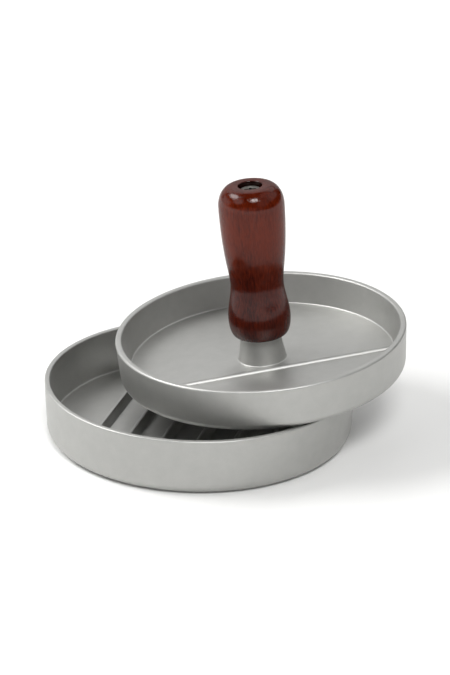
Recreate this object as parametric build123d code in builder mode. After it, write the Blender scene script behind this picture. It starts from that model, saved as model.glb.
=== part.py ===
from build123d import *
import os
from math import atan, cos, pi, radians, sin, sqrt, tan

# A burger press for one patty: a round cast aluminium base dish, and a smaller cast dish
# with a wooden handle that presses the meat in it. Millimetres, +Z up. The origin is the
# middle of the face that the base dish stands on. The press lies askew on the base dish's
# rim, as it is put down after use.

# Base dish
BASE_RADIUS = 62.0
BASE_HEIGHT = 23.0
BASE_WALL = 2.1
BASE_FLOOR = 4.0
BASE_OUTER_DRAFT = 0.7
BASE_INNER_DRAFT = 0.7
BASE_FOOT_ROUND = 5.2
BASE_RIM_ROUND = 0.6
BASE_CORNER_FILLET = 0.7

# Ridges that mark the patty, on the base dish's floor and under the press plate
RIDGE_COUNT = 6
RIDGE_PITCH = 13.7
RIDGE_TOP_WIDTH = 1.0
RIDGE_FLANK_ANGLE = 59.0
RIDGE_TOP_ROUND = 0.35
BASE_RIDGE_HEIGHT = 3.2
BASE_RIDGE_BEARING = 75.0
PRESS_RIDGE_HEIGHT = 2.0
RIDGE_ROOT = 0.5

# Press plate, a dish that goes down inside the base dish
PRESS_SIDE_CLEARANCE = 1.5
PRESS_HEIGHT = 17.3
PRESS_WALL = 2.5
PRESS_FLOOR = 4.3
PRESS_OUTER_DRAFT = 0.9
PRESS_INNER_DRAFT = 2.3
PRESS_FOOT_ROUND = 3.0
PRESS_RIM_ROUND = 0.8
PRESS_CORNER_FILLET = 0.7

# Low rounded step across the press plate's floor. Its distance is to the foot of the step
STEP_DISTANCE = 12.0
STEP_DEPTH = 1.05
STEP_WIDTH = 1.65
STEP_BEARING = 15.0
HOLLOW_WALL = 6.0

# Conical boss that carries the handle
BOSS_HEIGHT = 11.15
BOSS_FOOT_RADIUS = 9.7
BOSS_TOP_RADIUS = 7.7
BOSS_FOOT_FILLET = 0.5
BOSS_TOP_ROUND = 0.4

# Turned wooden handle
HANDLE_LENGTH = 62.6
HANDLE_FOOT_RADIUS = 10.3
HANDLE_BULGE_RADIUS = 12.5
HANDLE_BULGE_HEIGHT = 7.0
HANDLE_WAIST_RADIUS = 10.6
HANDLE_WAIST_HEIGHT = 21.0
HANDLE_FLARE_RADIUS = 11.35
HANDLE_FLARE_RISE = 8.0
HANDLE_HEAD_RADIUS = 13.0
HANDLE_CROWN_HEIGHT = 8.2
HANDLE_TOP_RADIUS = 7.5
HANDLE_MOUTH_ROUND = 0.5

# M5 handle screw with its washers, sunk in the top of the handle
SCREW_RADIUS = 2.5
SCREW_HEAD_RADIUS = 4.25
SCREW_HEAD_HEIGHT = 3.3
SCREW_HEAD_ROUND = 0.7
SCREW_HEAD_SINK = 1.6
SCREW_ENGAGEMENT = 7.3
SCREW_TIP_CHAMFER = 0.6
RECESS_SPAN = 4.6
RECESS_WIDTH = 1.1
RECESS_DEPTH = 2.0
RECESS_TAPER = 10.0
LOCK_WASHER_THICKNESS = 1.2
LOCK_WASHER_SPLIT = 0.9
LOCK_WASHER_SPLIT_ANGLE = 20.0
WASHER_THICKNESS = 1.0
WASHER_CHAMFER = 0.2

# Clearances
HEAD_BORE_CLEARANCE = 0.45
WASHER_BORE_CLEARANCE = 0.2
SHANK_CLEARANCE = 0.25
WASHER_SHANK_CLEARANCE = 0.12
THREAD_CLEARANCE = 0.05
SCREW_TIP_CLEARANCE = 1.2
RIM_REST_CLEARANCE = 0.3

# How the press lies on the base dish's rim
PRESS_SHIFT_X = 25.5
PRESS_SHIFT_Y = 7.8
PRESS_TILT = 5.2
PRESS_TILT_BEARING = 202.0
RIM_SAMPLES = 360
RIM_CREST_STEPS = 4
RIM_PASSES = 8

# Sizes that follow from those above
base_foot_radius = BASE_RADIUS - BASE_OUTER_DRAFT
base_mouth_radius = BASE_RADIUS - BASE_WALL
base_floor_radius = base_mouth_radius - BASE_INNER_DRAFT
press_radius = base_mouth_radius - PRESS_SIDE_CLEARANCE
press_foot_radius = press_radius - PRESS_OUTER_DRAFT
press_draft_angle = atan(PRESS_OUTER_DRAFT / PRESS_HEIGHT)
press_flat_radius = press_foot_radius - PRESS_FOOT_ROUND * tan(pi / 4 - press_draft_angle / 2)
press_mouth_radius = press_radius - PRESS_WALL
press_floor_radius = press_mouth_radius - PRESS_INNER_DRAFT
press_inner_slope = PRESS_INNER_DRAFT / (PRESS_HEIGHT - PRESS_FLOOR)
hollow_floor = PRESS_FLOOR - STEP_DEPTH
step_top = STEP_DISTANCE - STEP_WIDTH
step_round = (STEP_WIDTH**2 + STEP_DEPTH**2) / (2 * STEP_DEPTH)
boss_top = PRESS_FLOOR + BOSS_HEIGHT
head_bore_radius = SCREW_HEAD_RADIUS + HEAD_BORE_CLEARANCE
washer_radius = head_bore_radius - WASHER_BORE_CLEARANCE
washer_bore_radius = SCREW_RADIUS + WASHER_SHANK_CLEARANCE
head_bore_depth = SCREW_HEAD_SINK + SCREW_HEAD_HEIGHT + LOCK_WASHER_THICKNESS + WASHER_THICKNESS
screw_seat = boss_top + HANDLE_LENGTH - SCREW_HEAD_SINK - SCREW_HEAD_HEIGHT
screw_length = screw_seat - boss_top + SCREW_ENGAGEMENT


def corner(profile, x, y):
    """The corner of a profile that lies at x, y."""
    return profile.vertices().sort_by_distance((x, y, 0))[0]


def turned(plane, bearing):
    """The plane, turned about its own normal by this many degrees."""
    run = plane.x_dir * cos(radians(bearing)) + plane.y_dir * sin(radians(bearing))
    return Plane(origin=plane.origin, x_dir=run, z_dir=plane.z_dir)


def ridge_width(height):
    """The width of a ridge of this height at its foot."""
    return RIDGE_TOP_WIDTH + 2 * height / tan(radians(RIDGE_FLANK_ANGLE))


def ridges(floor_plane, bearing, height, end_radius):
    """Parallel ridges that stand on floor_plane, rooted in the metal under it, and end on a circle."""
    root_plane = floor_plane.offset(-RIDGE_ROOT)
    run = turned(root_plane, bearing)
    section = Plane(origin=run.origin, x_dir=run.y_dir, z_dir=run.x_dir)
    full_height = height + RIDGE_ROOT
    with BuildPart() as bars:
        with BuildSketch(section) as bar_sections:
            with GridLocations(RIDGE_PITCH, RIDGE_PITCH, RIDGE_COUNT, 1):
                Trapezoid(
                    ridge_width(full_height),
                    full_height,
                    RIDGE_FLANK_ANGLE,
                    align=(Align.CENTER, Align.MIN),
                )
            fillet(bar_sections.vertices().group_by(Axis.Y)[-1], RIDGE_TOP_ROUND)
        extrude(amount=end_radius, both=True)
        with BuildSketch(root_plane):
            Circle(end_radius)
        extrude(amount=full_height, mode=Mode.INTERSECT)
    return bars.part


def padded_underside(x, y):
    """The level of the press's underside at x, y in its own plane, with the rest clearance round it."""
    padded_round = PRESS_FOOT_ROUND + RIM_REST_CLEARANCE
    reach = sqrt(x * x + y * y) - press_flat_radius
    if reach > padded_round:
        return None
    if reach > 0:
        return PRESS_FOOT_ROUND - sqrt(padded_round**2 - reach**2)
    across = y * cos(radians(STEP_BEARING)) - x * sin(radians(STEP_BEARING))
    half_width = ridge_width(PRESS_RIDGE_HEIGHT) / 2 + RIM_REST_CLEARANCE
    for index in range(RIDGE_COUNT):
        ridge_centre = (index - (RIDGE_COUNT - 1) / 2) * RIDGE_PITCH
        if abs(across - ridge_centre) < half_width:
            return -PRESS_RIDGE_HEIGHT - RIM_REST_CLEARANCE
    return -RIM_REST_CLEARANCE


def rim_crest():
    """Radius and height of points across the top of the base dish's rim."""
    crest = []
    for index in range(RIM_CREST_STEPS + 1):
        turn = index / RIM_CREST_STEPS * pi / 2
        height = BASE_HEIGHT - BASE_RIM_ROUND * (1 - cos(turn))
        crest.append((base_mouth_radius + BASE_RIM_ROUND * (1 - sin(turn)), height))
        crest.append((BASE_RADIUS - BASE_RIM_ROUND * (1 - sin(turn)), height))
    return crest


def rest_height(normal, x_dir, y_dir):
    """How high the middle of the plate's underside lies when the plate rests on the base's rim."""
    height = BASE_HEIGHT
    for _ in range(RIM_PASSES):
        gaps = []
        for index in range(RIM_SAMPLES):
            angle = 2 * pi * index / RIM_SAMPLES
            for radius, level in rim_crest():
                point = Vector(
                    radius * cos(angle) - PRESS_SHIFT_X,
                    radius * sin(angle) - PRESS_SHIFT_Y,
                    level - height,
                )
                underside = padded_underside(point.dot(x_dir), point.dot(y_dir))
                if underside is not None:
                    gaps.append(underside - point.dot(normal))
        height -= min(gaps) / normal.Z
    return height


# The press's own plane: its origin is the middle of the plate's underside
lean = sin(radians(PRESS_TILT))
press_normal = Vector(
    lean * cos(radians(PRESS_TILT_BEARING)),
    lean * sin(radians(PRESS_TILT_BEARING)),
    cos(radians(PRESS_TILT)),
)
press_x = (Vector(1, 0, 0) - press_normal * press_normal.X).normalized()
press_y = press_normal.cross(press_x)
press_rest = rest_height(press_normal, press_x, press_y)
press = Plane(origin=(PRESS_SHIFT_X, PRESS_SHIFT_Y, press_rest), x_dir=press_x, z_dir=press_normal)
press_section = Plane(origin=press.origin, x_dir=press.x_dir, z_dir=-press.y_dir)
press_axis = Axis(press.origin, press.z_dir)
print("press plate underside rests at", round(press_rest, 2), "mm, leaning", round(PRESS_TILT, 2), "degrees")

# Base dish, turned profile with ridges across its floor
with BuildPart() as base_dish:
    with BuildSketch(Plane.XZ) as base_profile:
        with BuildLine():
            Polyline(
                (0, 0),
                (base_foot_radius, 0),
                (BASE_RADIUS, BASE_HEIGHT),
                (base_mouth_radius, BASE_HEIGHT),
                (base_floor_radius, BASE_FLOOR),
                (0, BASE_FLOOR),
                close=True,
            )
        make_face()
        fillet(corner(base_profile, base_foot_radius, 0), BASE_FOOT_ROUND)
        fillet(corner(base_profile, base_floor_radius, BASE_FLOOR), BASE_CORNER_FILLET)
        fillet(corner(base_profile, base_mouth_radius, BASE_HEIGHT), BASE_RIM_ROUND)
        fillet(corner(base_profile, BASE_RADIUS, BASE_HEIGHT), BASE_RIM_ROUND)
    revolve(axis=Axis.Z)
    add(ridges(Plane.XY.offset(BASE_FLOOR), BASE_RIDGE_BEARING, BASE_RIDGE_HEIGHT, base_floor_radius + RIDGE_ROOT))

# The hollow in front of the step: the lower floor, and the foot of the wall that it takes with it
with BuildPart() as front_hollow:
    with BuildSketch(press_section) as hollow_profile:
        with BuildLine():
            Polyline(
                (BOSS_FOOT_RADIUS, hollow_floor),
                (press_floor_radius - STEP_DEPTH * press_inner_slope, hollow_floor),
                (press_floor_radius + HOLLOW_WALL * press_inner_slope, PRESS_FLOOR + HOLLOW_WALL),
                (BOSS_FOOT_RADIUS, PRESS_FLOOR + HOLLOW_WALL),
                close=True,
            )
        make_face()
        fillet(corner(hollow_profile, press_floor_radius, hollow_floor), PRESS_CORNER_FILLET)
    revolve(axis=press_axis)
    step_run = turned(press, STEP_BEARING)
    with BuildSketch(Plane(origin=step_run.origin, x_dir=-step_run.y_dir, z_dir=-step_run.x_dir)):
        with BuildLine():
            step_slope = RadiusArc(
                (step_top, PRESS_FLOOR), (step_top + step_round, PRESS_FLOOR - step_round), step_round
            )
            Polyline(
                step_slope @ 1,
                (press_radius, PRESS_FLOOR - step_round),
                (press_radius, PRESS_HEIGHT),
                (step_top, PRESS_HEIGHT),
                step_slope @ 0,
            )
        make_face()
    extrude(amount=press_radius, both=True, mode=Mode.INTERSECT)

# Press plate: dish and boss in one turned profile, lower floor in front, ridges under it
with BuildPart() as press_plate:
    with BuildSketch(press_section) as plate_profile:
        with BuildLine():
            Polyline(
                (0, 0),
                (press_foot_radius, 0),
                (press_radius, PRESS_HEIGHT),
                (press_mouth_radius, PRESS_HEIGHT),
                (press_floor_radius, PRESS_FLOOR),
                (BOSS_FOOT_RADIUS, PRESS_FLOOR),
                (BOSS_TOP_RADIUS, boss_top),
                (0, boss_top),
                close=True,
            )
        make_face()
        fillet(corner(plate_profile, press_foot_radius, 0), PRESS_FOOT_ROUND)
        fillet(corner(plate_profile, press_floor_radius, PRESS_FLOOR), PRESS_CORNER_FILLET)
        fillet(corner(plate_profile, BOSS_FOOT_RADIUS, PRESS_FLOOR), BOSS_FOOT_FILLET)
        fillet(corner(plate_profile, BOSS_TOP_RADIUS, boss_top), BOSS_TOP_ROUND)
        fillet(corner(plate_profile, press_mouth_radius, PRESS_HEIGHT), PRESS_RIM_ROUND)
        fillet(corner(plate_profile, press_radius, PRESS_HEIGHT), PRESS_RIM_ROUND)
    revolve(axis=press_axis)
    add(front_hollow.part, mode=Mode.SUBTRACT)
    underside = Plane(origin=press.origin, x_dir=press.x_dir, z_dir=-press.z_dir)
    add(ridges(underside, -STEP_BEARING, PRESS_RIDGE_HEIGHT, press_flat_radius))
    with BuildSketch(press.offset(boss_top)):
        Circle(SCREW_RADIUS + THREAD_CLEARANCE)
    extrude(amount=-(SCREW_ENGAGEMENT + SCREW_TIP_CLEARANCE), mode=Mode.SUBTRACT)

# Handle: turned outline, bored through and counterbored for the screw's head and washers
handle_foot = press_section.shift_origin((press.origin + press.z_dir * boss_top))
handle_top = press.offset(boss_top + HANDLE_LENGTH)
shoulder_height = HANDLE_LENGTH - HANDLE_CROWN_HEIGHT
with BuildPart() as handle:
    with BuildSketch(handle_foot):
        with BuildLine():
            foot_face = Line((0, 0), (HANDLE_FOOT_RADIUS, 0))
            foot_bulge = EllipticalCenterArc(
                (HANDLE_FOOT_RADIUS, HANDLE_BULGE_HEIGHT),
                HANDLE_BULGE_RADIUS - HANDLE_FOOT_RADIUS,
                HANDLE_BULGE_HEIGHT,
                start_angle=270,
                arc_size=90,
            )
            grip = Spline(
                (HANDLE_BULGE_RADIUS, HANDLE_BULGE_HEIGHT),
                (HANDLE_WAIST_RADIUS, HANDLE_WAIST_HEIGHT),
                (HANDLE_FLARE_RADIUS, HANDLE_WAIST_HEIGHT + HANDLE_FLARE_RISE),
                (HANDLE_HEAD_RADIUS, shoulder_height),
                tangents=((0, 1), (0, 1)),
            )
            crown = EllipticalCenterArc(
                (HANDLE_TOP_RADIUS, shoulder_height),
                HANDLE_HEAD_RADIUS - HANDLE_TOP_RADIUS,
                HANDLE_CROWN_HEIGHT,
                start_angle=0,
                arc_size=90,
            )
            Polyline((HANDLE_TOP_RADIUS, HANDLE_LENGTH), (0, HANDLE_LENGTH), (0, 0))
        make_face()
    revolve(axis=press_axis)
    with Locations(handle_top):
        CounterBoreHole(SCREW_RADIUS + SHANK_CLEARANCE, head_bore_radius, head_bore_depth, HANDLE_LENGTH)
    mouth_edge = handle.edges().filter_by(GeomType.CIRCLE).group_by(press_axis)[-1].sort_by(SortBy.RADIUS)[0]
    fillet(mouth_edge, HANDLE_MOUTH_ROUND)

# Handle screw: cheese head with a cross recess, shank down into the boss
with BuildPart() as handle_screw:
    with BuildSketch(press.offset(screw_seat)):
        Circle(SCREW_HEAD_RADIUS)
    extrude(amount=SCREW_HEAD_HEIGHT)
    fillet(handle_screw.edges().sort_by(press_axis)[-1], SCREW_HEAD_ROUND)
    with BuildSketch(press.offset(screw_seat)):
        Circle(SCREW_RADIUS)
    extrude(amount=-screw_length)
    chamfer(handle_screw.edges().sort_by(press_axis)[0], SCREW_TIP_CHAMFER)
    with BuildSketch(press.offset(screw_seat + SCREW_HEAD_HEIGHT)):
        Rectangle(RECESS_SPAN, RECESS_WIDTH)
        Rectangle(RECESS_WIDTH, RECESS_SPAN)
    extrude(amount=-RECESS_DEPTH, taper=RECESS_TAPER, mode=Mode.SUBTRACT)

# Lock washer under the head: a flattened spring ring with a slanted split
lock_washer_seat = press.offset(screw_seat - LOCK_WASHER_THICKNESS)
with BuildPart() as lock_washer:
    with BuildSketch(lock_washer_seat):
        Circle(washer_radius)
        Circle(washer_bore_radius, mode=Mode.SUBTRACT)
    extrude(amount=LOCK_WASHER_THICKNESS)
    split_slope = LOCK_WASHER_THICKNESS * tan(radians(LOCK_WASHER_SPLIT_ANGLE))
    with BuildSketch(Plane(origin=lock_washer_seat.origin, x_dir=press.y_dir, z_dir=press.x_dir)):
        with BuildLine():
            Polyline(
                (-(LOCK_WASHER_SPLIT + split_slope) / 2, 0),
                ((LOCK_WASHER_SPLIT - split_slope) / 2, 0),
                ((LOCK_WASHER_SPLIT + split_slope) / 2, LOCK_WASHER_THICKNESS),
                (-(LOCK_WASHER_SPLIT - split_slope) / 2, LOCK_WASHER_THICKNESS),
                close=True,
            )
        make_face()
    extrude(amount=washer_radius * 2, mode=Mode.SUBTRACT)

# Plain washer between the lock washer and the wood
with BuildPart() as washer:
    with BuildSketch(press.offset(screw_seat - LOCK_WASHER_THICKNESS - WASHER_THICKNESS)):
        Circle(washer_radius)
        Circle(washer_bore_radius, mode=Mode.SUBTRACT)
    extrude(amount=WASHER_THICKNESS)
    chamfer(washer.edges().group_by(press_axis)[-1], WASHER_CHAMFER)

os.makedirs("parts", exist_ok=True)
for piece, name in (
    (base_dish, "base_dish"),
    (press_plate, "press_plate"),
    (handle, "handle"),
    (handle_screw, "handle_screw"),
    (lock_washer, "lock_washer"),
    (washer, "washer"),
):
    piece.part.label = name
    export_step(piece.part, f"parts/{name}.step")
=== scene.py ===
from math import acos, atan, atan2, cos, floor, pi, radians, sin, tan

import bmesh
import bpy
from bpy.props import FloatProperty, FloatVectorProperty, IntProperty, PointerProperty
from mathutils import Matrix, Vector


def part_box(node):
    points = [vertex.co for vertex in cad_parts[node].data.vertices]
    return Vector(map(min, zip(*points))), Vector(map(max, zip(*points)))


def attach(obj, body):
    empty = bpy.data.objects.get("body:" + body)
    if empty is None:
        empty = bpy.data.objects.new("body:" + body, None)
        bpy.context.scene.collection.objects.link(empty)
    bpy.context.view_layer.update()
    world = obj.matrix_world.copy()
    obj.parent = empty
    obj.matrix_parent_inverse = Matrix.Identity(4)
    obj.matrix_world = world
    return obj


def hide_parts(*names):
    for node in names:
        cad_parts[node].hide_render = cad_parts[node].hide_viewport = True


bl_info = {
    "name": "Burger Press",
    "version": (1, 0, 0),
    "blender": (4, 5, 0),
    "location": "View3D > Sidebar > Burger Press",
    "description": "Cast aluminium burger press with a turned wooden handle",
    "category": "Object",
}

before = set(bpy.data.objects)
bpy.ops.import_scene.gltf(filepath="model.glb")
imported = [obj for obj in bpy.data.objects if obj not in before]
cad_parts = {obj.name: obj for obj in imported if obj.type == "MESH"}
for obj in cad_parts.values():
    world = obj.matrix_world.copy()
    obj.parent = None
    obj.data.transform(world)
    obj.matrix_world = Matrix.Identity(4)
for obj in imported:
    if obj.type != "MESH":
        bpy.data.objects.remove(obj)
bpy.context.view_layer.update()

MM = 0.001
FULL_TURN = 2 * pi

# Steps along an outline, and segments round the axis
ROUND_STEPS = 7
STEP_STEPS = 9
GRIP_STEPS = 18
QUARTER_STEPS = 20
WALL_SEGMENTS = 360
HANDLE_SEGMENTS = 192
SCREW_SEGMENTS = 96
RINGS_PER_THREAD_TURN = 10
SPLINE_PASSES = 60

# Points of one ridge across and along it, and across the floor beside the ridges
RIDGE_COLUMNS = 61
RIDGE_ROWS = 9
SIDE_COLUMNS = 24

# Points nearer than this are merged, and edges shorter than this are taken out
MERGE_DISTANCE = 0.001 * MM
SHORTEST_EDGE = MERGE_DISTANCE / 10

# Edges that turn more than this stay sharp, and angles round the axis nearer than this are one
SHARP_ANGLE = radians(32)
LEAST_TURN = radians(0.004)

# Flat bands of once or twice this width join one turned outline to the next
BAND = 0.1 * MM

# Length over which the ridges end, and how far a floor's edge lies inside the wall's fillet
BASE_RIDGE_RUN = 0.6 * MM
PRESS_RIDGE_RUN = 4.0 * MM
BASE_FLOOR_MARGIN = 0.3 * MM
PRESS_FLOOR_MARGIN = 0.5 * MM


def length(name, millimetres, description):
    """A size that the user may change, given here in millimetres."""
    return FloatProperty(
        name=name,
        description=description,
        default=millimetres * MM,
        min=0.0,
        precision=5,
        subtype="DISTANCE",
        unit="LENGTH",
    )


def turn(name, degrees, description):
    """An angle that the user may change, given here in degrees."""
    return FloatProperty(
        name=name, description=description, default=radians(degrees), subtype="ANGLE", unit="ROTATION"
    )


def share(name, value, description):
    """A number from 0 to 1 that the user may change."""
    return FloatProperty(
        name=name, description=description, default=value, min=0.0, max=1.0, subtype="FACTOR"
    )


def amount(name, value, description):
    """A plain number that the user may change."""
    return FloatProperty(name=name, description=description, default=value)


def colour(name, value, description):
    """A colour that the user may change."""
    return FloatVectorProperty(
        name=name, description=description, default=value, min=0.0, max=1.0, size=3, subtype="COLOR"
    )


class RidgeSizes(bpy.types.PropertyGroup):
    """Ridges that mark the patty."""

    count: IntProperty(name="Ridges", description="Number of ridges", default=6, min=1)
    pitch: length("Pitch", 13.7, "Distance from one ridge to the next")
    top_width: length("Top width", 1.0, "Width of a ridge's top")
    flank: turn("Flank angle", 59.0, "Slope of a ridge's sides")
    base_height: length("Base height", 3.2, "Height of the base dish's ridges")
    base_bearing: turn("Base bearing", 75.0, "Way that the base dish's ridges run")
    press_height: length("Press height", 2.0, "Height of the ridges under the press plate")
    edge_blend: length("Edge blend", 0.4, "How far the top edges are blended")
    root_blend: length("Root blend", 0.5, "How far the feet are blended into the floor")


class BaseSizes(bpy.types.PropertyGroup):
    """Base dish."""

    radius: length("Rim radius", 62.0, "Outer radius at the rim")
    height: length("Height", 23.0, "Height of the rim over the table")
    wall: length("Wall", 2.1, "Thickness of the wall at the rim")
    floor: length("Floor", 4.0, "Thickness of the floor")
    outer_draft: length("Outer draft", 0.7, "How much narrower the outside is at the foot")
    inner_draft: length("Inner draft", 0.7, "How much narrower the inside is at the floor")
    foot_round: length("Foot round", 5.2, "Rounding where the wall meets the foot")
    rim_round: length("Rim round", 0.6, "Rounding of the rim's edges")
    corner_fillet: length("Corner fillet", 0.7, "Fillet between floor and wall")


class PressSizes(bpy.types.PropertyGroup):
    """Press plate, its boss and its step."""

    clearance: length("Side clearance", 1.5, "Play between the press and the base dish's mouth")
    height: length("Height", 17.3, "Height of the rim over the underside")
    wall: length("Wall", 2.5, "Thickness of the wall at the rim")
    floor: length("Floor", 4.3, "Thickness of the floor")
    outer_draft: length("Outer draft", 0.9, "How much narrower the outside is at the foot")
    inner_draft: length("Inner draft", 2.3, "How much narrower the inside is at the floor")
    foot_round: length("Foot round", 3.0, "Rounding where the wall meets the underside")
    rim_round: length("Rim round", 0.8, "Rounding of the rim's edges")
    corner_fillet: length("Corner fillet", 0.7, "Fillet between floor and wall")
    step_distance: length("Step distance", 12.0, "How far in front of the axis the foot of the step is")
    step_depth: length("Step depth", 1.05, "How far the floor steps down")
    step_width: length("Step width", 1.65, "Width over which the floor rounds down")
    step_bearing: turn("Step bearing", 15.0, "Way that the step and the ridges under it run")
    boss_height: length("Boss height", 11.15, "Height of the boss over the floor")
    boss_foot: length("Boss foot radius", 9.7, "Radius of the boss at its foot")
    boss_top: length("Boss top radius", 7.7, "Radius of the boss under the handle")
    boss_fillet: length("Boss fillet", 0.5, "Fillet between boss and floor")
    boss_round: length("Boss round", 0.4, "Rounding of the boss's top edge")
    shift_x: length("Shift to the right", 25.5, "How far right of the base dish the press lies")
    shift_y: length("Shift to the back", 7.8, "How far behind the base dish's middle the press lies")
    tilt: turn("Tilt", 5.2, "How far the press leans")
    tilt_bearing: turn("Tilt bearing", 202.0, "Way that the press leans")


class HandleSizes(bpy.types.PropertyGroup):
    """Turned handle."""

    length: length("Length", 62.6, "Length of the handle")
    foot: length("Foot radius", 10.3, "Radius of the face on the boss")
    bulge: length("Bulge radius", 12.5, "Radius of the bulge over the foot")
    bulge_height: length("Bulge height", 7.0, "Height of the bulge over the foot")
    waist: length("Waist radius", 10.6, "Radius of the waist")
    waist_height: length("Waist height", 21.0, "Height of the waist over the foot")
    flare: length("Flare radius", 11.35, "Radius a little over the waist")
    flare_rise: length("Flare rise", 8.0, "How far the flare is over the waist")
    head: length("Head radius", 13.0, "Radius of the shoulder")
    crown: length("Crown height", 8.2, "Height of the crown over the shoulder")
    top: length("Top radius", 7.5, "Radius of the flat top")
    mouth_round: length("Mouth round", 0.5, "Rounding of the screw hole's edge")


class ScrewSizes(bpy.types.PropertyGroup):
    """Handle screw in its counterbore."""

    radius: length("Screw radius", 2.5, "Radius over the thread")
    head: length("Head radius", 4.25, "Radius of the cheese head")
    head_height: length("Head height", 3.3, "Height of the cheese head")
    head_round: length("Head round", 0.7, "Rounding of the head's edge")
    head_sink: length("Head sink", 1.6, "How deep the head lies under the handle's top")
    engagement: length("Engagement", 7.3, "How far the screw goes into the boss")
    thread: length("Thread length", 22.0, "Length of the thread")
    pitch: length("Thread pitch", 0.8, "Pitch of the thread")
    recess_span: length("Recess span", 4.6, "Width of the cross recess over its arms")
    recess_width: length("Recess width", 1.1, "Width of an arm of the recess")
    recess_depth: length("Recess depth", 2.0, "Depth of the recess")
    washers: length("Washers", 2.2, "Thickness of the two washers together")
    bore_clearance: length("Counterbore clearance", 0.45, "Play round the head")
    shank_clearance: length("Shank clearance", 0.25, "Play round the shank in the wood")
    thread_clearance: length("Thread clearance", 0.05, "Play between the screw and the tapped hole")
    tip_clearance: length("Tip clearance", 1.2, "Depth of the tapped hole under the screw's tip")


class Finishes(bpy.types.PropertyGroup):
    """Colours and gloss."""

    aluminium: colour("Aluminium", (0.45, 0.45, 0.435), "Colour of the blasted casting")
    aluminium_roughness: share("Casting roughness", 0.5, "Roughness of the blasted casting")
    wood_light: colour("Light wood", (0.1, 0.012, 0.003), "Lighter streaks under the lacquer")
    wood_dark: colour("Dark wood", (0.024, 0.0016, 0.0006), "Darker streaks under the lacquer")
    # Painted shade: the wood inside the screw hole is darkened to stand in for the shade there
    bore_shade: colour("Bore shade", (0.008, 0.001, 0.0005), "Painted shade inside the screw hole")
    steel: colour("Steel", (0.2, 0.19, 0.175), "Colour of the zinc plate")
    table: colour("Table", (0.77, 0.77, 0.76), "Colour of the floor")


class StageSettings(bpy.types.PropertyGroup):
    """Floor, light and camera."""

    camera_x: length("Camera to the right", 9.94, "How far right of the base dish's middle the camera is")
    camera_back: length("Camera distance", 734.13, "How far in front of the dish's middle the camera is")
    camera_height: length("Camera height", 345.13, "Height of the camera over the table")
    camera_dip: turn("Camera dip", 22.601, "How far the camera looks down")
    camera_roll: turn("Camera roll", 0.647, "How far the camera is turned about its own axis")
    focal: amount("Focal length", 106.667, "Focal length on a 36 mm sensor")
    sky: amount("Sky", 1.0, "Brightness of the background, which lights nothing")
    glow: amount("Floor glow", 0.04, "Strength of the light from within the floor")
    light: amount("Light", 1.0, "Power of all softboxes, as a share of the usual")


class BurgerPressSettings(bpy.types.PropertyGroup):
    """All settings of the burger press."""

    ridges: PointerProperty(type=RidgeSizes)
    base: PointerProperty(type=BaseSizes)
    press: PointerProperty(type=PressSizes)
    handle: PointerProperty(type=HandleSizes)
    screw: PointerProperty(type=ScrewSizes)
    finish: PointerProperty(type=Finishes)
    stage: PointerProperty(type=StageSettings)


class Field:
    """A socket of a node tree that is reckoned with like a number."""

    def __init__(self, tree, socket):
        self.tree = tree
        self.socket = socket

    def math(self, operation, *others, clamp=False):
        """The result of a Math node on this field and other fields or numbers."""
        made = self.tree.nodes.new("ShaderNodeMath")
        made.operation = operation
        made.use_clamp = clamp
        for socket, value in zip(made.inputs, (self, *others)):
            if isinstance(value, Field):
                self.tree.links.new(value.socket, socket)
            else:
                socket.default_value = value
        return Field(self.tree, made.outputs[0])

    def __add__(self, other):
        return self.math("ADD", other)

    def __sub__(self, other):
        return self.math("SUBTRACT", other)

    def __mul__(self, other):
        return self.math("MULTIPLY", other)

    def __truediv__(self, other):
        return self.math("DIVIDE", other)

    def __abs__(self):
        return self.math("ABSOLUTE")


def node(tree, kind, properties=None, **inputs):
    """A new node with its properties, and its inputs linked or set. Input names use _ for a space."""
    made = tree.nodes.new(kind)
    for name, value in (properties or {}).items():
        setattr(made, name, value)
    for name, value in inputs.items():
        socket = made.inputs[name.replace("_", " ")]
        if isinstance(value, Field):
            tree.links.new(value.socket, socket)
        elif isinstance(value, bpy.types.NodeSocket):
            tree.links.new(value, socket)
        else:
            socket.default_value = value
    return made


def parts_of(tree, place):
    """The three coordinates of a place, as fields."""
    parts = node(tree, "ShaderNodeSeparateXYZ", Vector=place)
    return [Field(tree, parts.outputs[index]) for index in range(3)]


def rounded(corners):
    """A path along corners (x, z, radius), each rounded to its radius by an arc."""
    path = []
    for index, (x, z, radius) in enumerate(corners):
        here = Vector((x, z))
        if radius == 0:
            path.append(here)
            continue
        before = (Vector(corners[index - 1][:2]) - here).normalized()
        after = (Vector(corners[index + 1][:2]) - here).normalized()
        half = before.angle(after) / 2
        centre = here + (before + after).normalized() * radius / sin(half)
        first = here + before * radius / tan(half) - centre
        last = here + after * radius / tan(half) - centre
        sweep = first.angle(last)
        for step in range(ROUND_STEPS + 1):
            done = step / ROUND_STEPS * sweep
            path.append(centre + (first * sin(sweep - done) + last * sin(done)) / sin(sweep))
    return path


def smooth_through(points):
    """A smooth path up through the points (r, z), upright at both ends, with an even bend throughout."""
    rises = [after[1] - before[1] for before, after in zip(points, points[1:])]
    slopes = [(after[0] - before[0]) / rise for before, after, rise in zip(points, points[1:], rises)]
    leans = [0.0] * len(points)
    for _ in range(SPLINE_PASSES):
        for index in range(1, len(points) - 1):
            low, high = rises[index - 1 : index + 1]
            pull = 3 * (slopes[index - 1] / low + slopes[index] / high)
            leans[index] = (pull - leans[index - 1] / low - leans[index + 1] / high) / (2 / low + 2 / high)
    path = []
    for index, rise in enumerate(rises):
        for step in range(GRIP_STEPS):
            t = step / GRIP_STEPS
            low = (1 + 2 * t) * (1 - t) ** 2 * points[index][0] + t * (1 - t) ** 2 * rise * leans[index]
            high = t * t * (3 - 2 * t) * points[index + 1][0] - t * t * (1 - t) * rise * leans[index + 1]
            path.append(Vector((low + high, points[index][1] + rise * t)))
    return [*path, Vector(points[-1])]


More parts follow.
